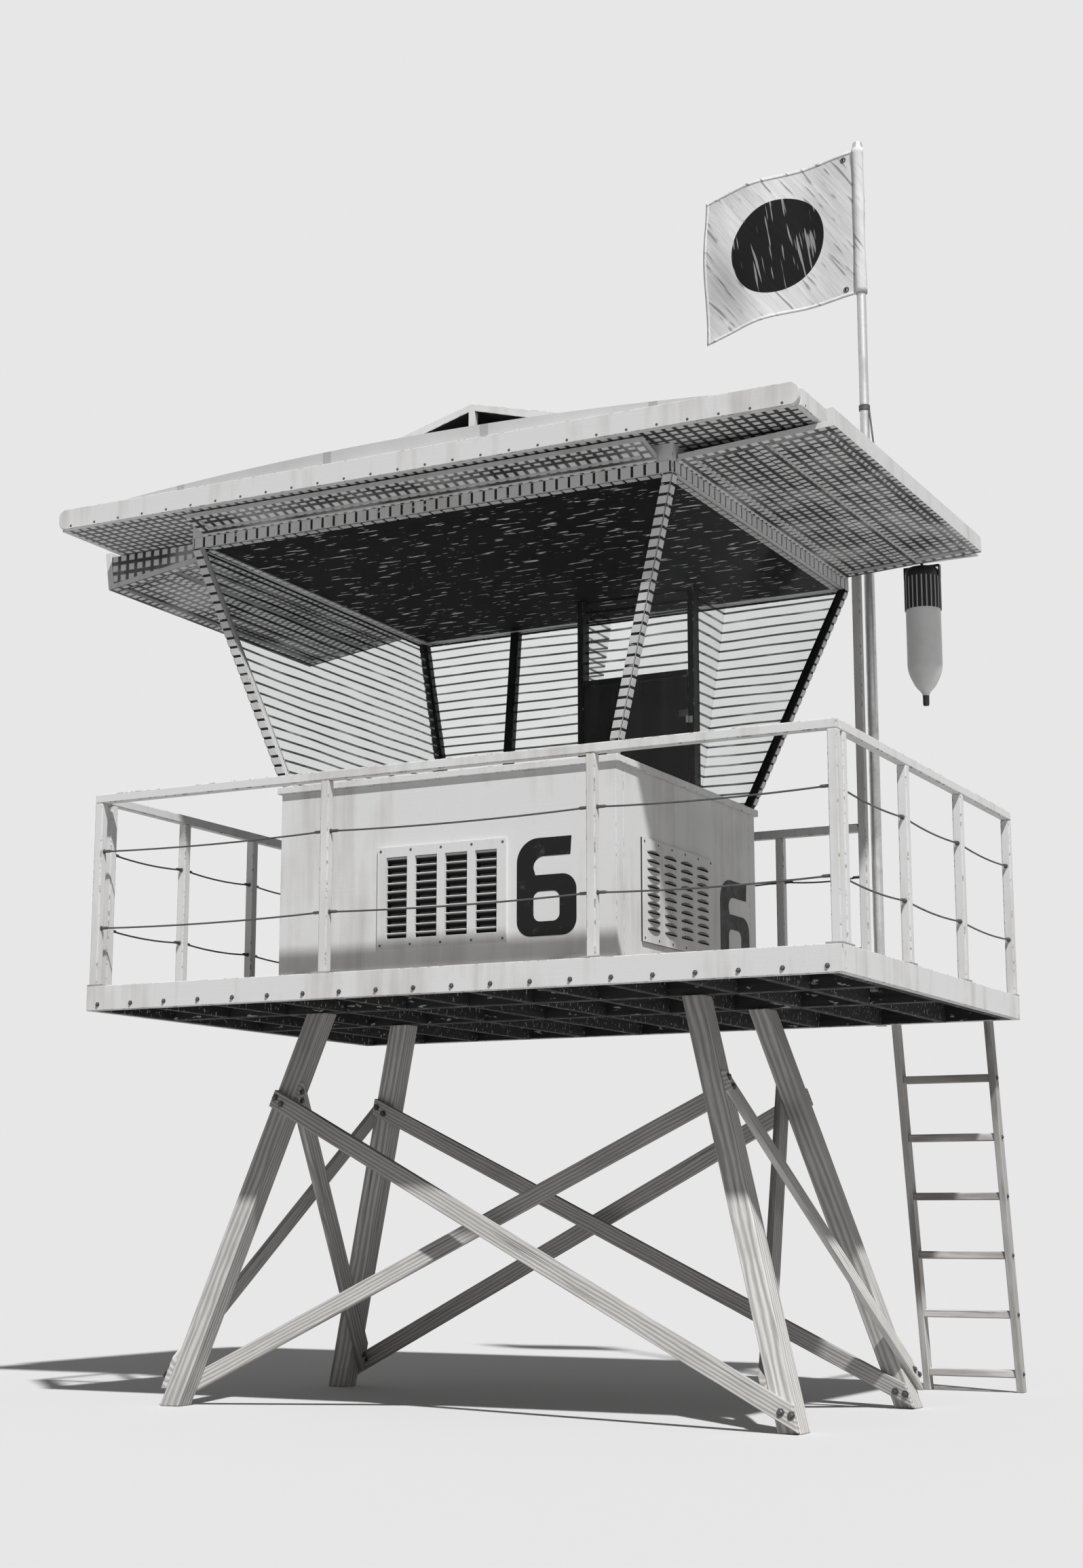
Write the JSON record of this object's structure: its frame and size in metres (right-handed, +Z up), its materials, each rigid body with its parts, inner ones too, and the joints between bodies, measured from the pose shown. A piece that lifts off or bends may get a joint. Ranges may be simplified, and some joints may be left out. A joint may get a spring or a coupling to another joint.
{
  "type": "lifeguard tower",
  "caption": "Timber lifeguard tower: a cab with outward-leaning windows and raised shutters on a railed deck over splayed, cross-braced legs.",
  "frame": {"origin": "on the ground, at the middle of the tower's box", "axes": "+Z up, -Y the front with the vented wall, +X to the right of a person who faces the front"},
  "size_m": [4.9284, 3.517, 7.93],
  "materials": {
    "weathered_timber": "weathered, bare",
    "frame_timber": "dark stained",
    "deck_boards": "weathered, bare",
    "galvanised_steel": "dull galvanised",
    "window_glass": "clear",
    "dark_ceiling": "dark paint",
    "roof_membrane": "matt membrane",
    "shutter_paint": "satin paint",
    "louvre_metal": "satin paint",
    "pole_aluminium": "satin",
    "flag_cloth": "woven",
    "can_plastic": "moulded",
    "webbing": "woven webbing",
    "door_paint": "satin paint",
    "frame_paint": "satin paint",
    "white_paint": "satin paint"
  },
  "bodies": {
    "tower": {"leg_front_left": "weathered_timber", "leg_front_right": "weathered_timber", "leg_rear_left": "weathered_timber", "leg_rear_right": "weathered_timber", "braces_front": "weathered_timber", "braces_rear": "weathered_timber", "braces_left": "weathered_timber", "braces_right": "weathered_timber", "deck_girders": "frame_timber", "deck_joists": "frame_timber", "deck_floor": "deck_boards", "deck_rims": "white_paint", "ladder_stiles": "weathered_timber", "ladder_rungs": "weathered_timber", "rail_posts": "white_paint", "top_rails": "white_paint", "rail_cables": "galvanised_steel", "front_wall": "white_paint", "left_wall": "white_paint", "right_wall": "white_paint", "rear_wall": "white_paint", "window_sills": "white_paint", "corner_posts": "frame_paint", "rear_posts": "frame_paint", "door_head": "frame_paint", "window_glass": "window_glass", "head_beams": "white_paint", "ceiling": "dark_ceiling", "roof_deck": "roof_membrane", "roof_fascia_front": "white_paint", "roof_edges": "white_paint", "roof_vent": "white_paint", "shutter_front": "shutter_paint", "shutter_left": "shutter_paint", "shutter_right": "shutter_paint", "front_vent": "louvre_metal", "side_vent": "louvre_metal", "flagpole": "pole_aluminium", "pole_clamps": "galvanised_steel", "flag": "flag_cloth", "rescue_can": "can_plastic", "can_strap": "webbing", "frame_hinges": "galvanised_steel"},
    "door": {"door_leaf": "door_paint", "door_hardware": "galvanised_steel"}
  },
  "joints": [
    {"name": "door_hinge", "type": "hinge", "parent": "tower", "child": "door", "pos_m": [0.65119, 0.5865, 3.3], "axis": [0, 0, 1], "range_deg": [0, 95]}
  ]
}
